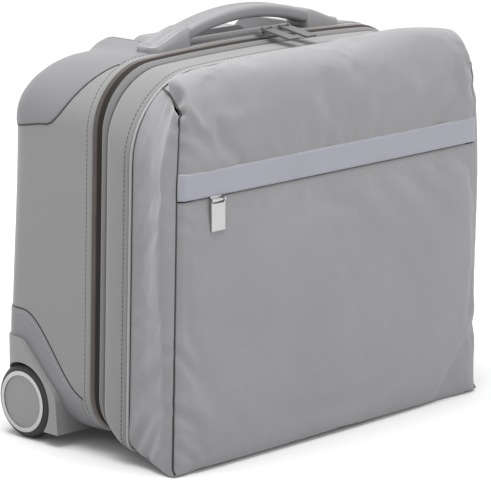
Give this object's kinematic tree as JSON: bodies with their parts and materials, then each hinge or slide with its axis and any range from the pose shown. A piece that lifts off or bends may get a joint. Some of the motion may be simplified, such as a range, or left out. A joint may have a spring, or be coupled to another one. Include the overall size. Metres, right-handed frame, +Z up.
{
  "type": "rolling laptop case",
  "caption": "Upright wheeled case for a laptop, with a zipped front lid and pocket, rounded corner panels, a carry handle and a telescopic trolley handle.",
  "frame": {"origin": "middle of the case's footprint on the ground", "axes": "+X to the case's right, +Y to its back, +Z up"},
  "size_m": [0.434, 0.2364, 0.393],
  "materials": {
    "shell_fabric": "fine weave nylon",
    "pocket_fabric": "twill nylon",
    "coated_panel": "smooth coated fabric",
    "zip_coil": "nylon coil on tape",
    "zip_metal": "dark plated",
    "zip_pull": "satin",
    "silver_metal": "satin",
    "housing_plastic": "fine moulded grain",
    "handle_plastic": "satin moulded",
    "button_plastic": "satin moulded",
    "tube_aluminium": "anodised",
    "tyre": "matte",
    "rim_plastic": "moulded",
    "trim_silver": "satin bright",
    "hub_cap_grey": "satin",
    "steel": "plated",
    "stiff_board": "plain",
    "lining_fabric": "plain weave"
  },
  "bodies": {
    "root": {"axle_left": "steel", "axle_right": "steel", "back_board": "stiff_board", "bottom_guard_left": "coated_panel", "bottom_guard_right": "coated_panel", "carry_handle_grip": "handle_plastic", "carry_handle_shoe_left": "handle_plastic", "carry_handle_shoe_right": "handle_plastic", "compartment_lining": "lining_fabric", "handle_bay_tray": "handle_plastic", "housing_screws_left": "steel", "housing_screws_right": "steel", "laptop_sleeve": "lining_fabric", "lid_hinge_strip": "lining_fabric", "outer_tube_left": "tube_aluminium", "outer_tube_right": "tube_aluminium", "rear_kick_plate": "housing_plastic", "rear_shell": "shell_fabric", "shoe_screws": "steel", "sleeve_strap": "lining_fabric", "top_guard_panel": "coated_panel", "tray_screws": "steel", "tube_foot_bracket": "stiff_board", "wheel_housing_left": "housing_plastic", "wheel_housing_right": "housing_plastic", "zip_chain_shell": "zip_coil"},
    "wheel_left": {"wheel_tyre_left": "tyre", "wheel_rim_left": "rim_plastic", "wheel_trim_ring_left": "trim_silver", "wheel_hub_cap_left": "hub_cap_grey", "wheel_bearing_left": "steel"},
    "wheel_right": {"wheel_tyre_right": "tyre", "wheel_rim_right": "rim_plastic", "wheel_trim_ring_right": "trim_silver", "wheel_hub_cap_right": "hub_cap_grey", "wheel_bearing_right": "steel"},
    "handle_mid": {"mid_tube_left": "tube_aluminium", "mid_tube_right": "tube_aluminium"},
    "handle_grip": {"inner_tube_left": "tube_aluminium", "inner_tube_right": "tube_aluminium", "grip_body": "handle_plastic", "button_spring": "steel"},
    "release_button": {"release_button": "button_plastic"},
    "lid": {"lid_ring": "shell_fabric", "zip_chain_lid": "zip_coil", "lid_board": "stiff_board", "lid_piping": "shell_fabric", "pocket_base": "pocket_fabric", "pocket_gusset_left": "pocket_fabric", "pocket_gusset_right": "pocket_fabric", "front_panel_lower": "pocket_fabric", "front_panel_upper": "pocket_fabric", "pocket_band": "coated_panel", "pocket_zip_chain": "zip_coil"},
    "main_slider_left": {"main_slider_left": "zip_metal"},
    "main_pull_left": {"main_pull_left": "zip_pull"},
    "main_slider_right": {"main_slider_right": "zip_metal"},
    "main_pull_right": {"main_pull_right": "zip_pull"},
    "pocket_slider": {"pocket_slider": "silver_metal"},
    "pocket_pull": {"pocket_pull": "silver_metal"}
  },
  "joints": [
    {"name": "wheel_left_turn", "type": "hinge", "parent": "root", "child": "wheel_left", "pos_m": [-0.205, 0.08275, 0.0355], "axis": [1, 0, 0], "continuous": true},
    {"name": "wheel_right_turn", "type": "hinge", "parent": "root", "child": "wheel_right", "pos_m": [0.205, 0.08275, 0.0355], "axis": [1, 0, 0], "continuous": true},
    {"name": "handle_lower_slide", "type": "slide", "parent": "root", "child": "handle_mid", "axis": [0, 0, 1], "range_m": [0, 0.26]},
    {"name": "handle_upper_slide", "type": "slide", "parent": "handle_mid", "child": "handle_grip", "axis": [0, 0, 1], "range_m": [0, 0.26]},
    {"name": "release_button_press", "type": "slide", "parent": "handle_grip", "child": "release_button", "axis": [0, 0, -1], "range_m": [0, 0.003], "stiffness_N_per_m": 600, "springref_m": -0.001, "deforming": ["button_spring"]},
    {"name": "lid_hinge", "type": "hinge", "parent": "root", "child": "lid", "pos_m": [0, -0.00645, 0.0145], "axis": [1, 0, 0], "range_deg": [0, 95]},
    {"name": "main_slider_left_slide", "type": "slide", "parent": "root", "child": "main_slider_left", "axis": [1, 0, 0], "range_m": [-0.145, 0]},
    {"name": "main_slider_right_slide", "type": "slide", "parent": "root", "child": "main_slider_right", "axis": [1, 0, 0], "range_m": [0, 0.1]},
    {"name": "main_pull_left_swing", "type": "hinge", "parent": "main_slider_left", "child": "main_pull_left", "pos_m": [0.012, -0.01225, 0.37076], "axis": [-1, 0, 0], "range_deg": [0, 80]},
    {"name": "main_pull_right_swing", "type": "hinge", "parent": "main_slider_right", "child": "main_pull_right", "pos_m": [0.035, -0.01225, 0.37076], "axis": [-1, 0, 0], "range_deg": [0, 80]},
    {"name": "pocket_slider_slide", "type": "slide", "parent": "lid", "child": "pocket_slider", "axis": [1, 0, 0], "range_m": [-0.022, 0.33]},
    {"name": "pocket_pull_swing", "type": "hinge", "parent": "pocket_slider", "child": "pocket_pull", "pos_m": [-0.157, -0.11609, 0.2485], "axis": [-1, 0, 0], "range_deg": [0, 120]}
  ]
}
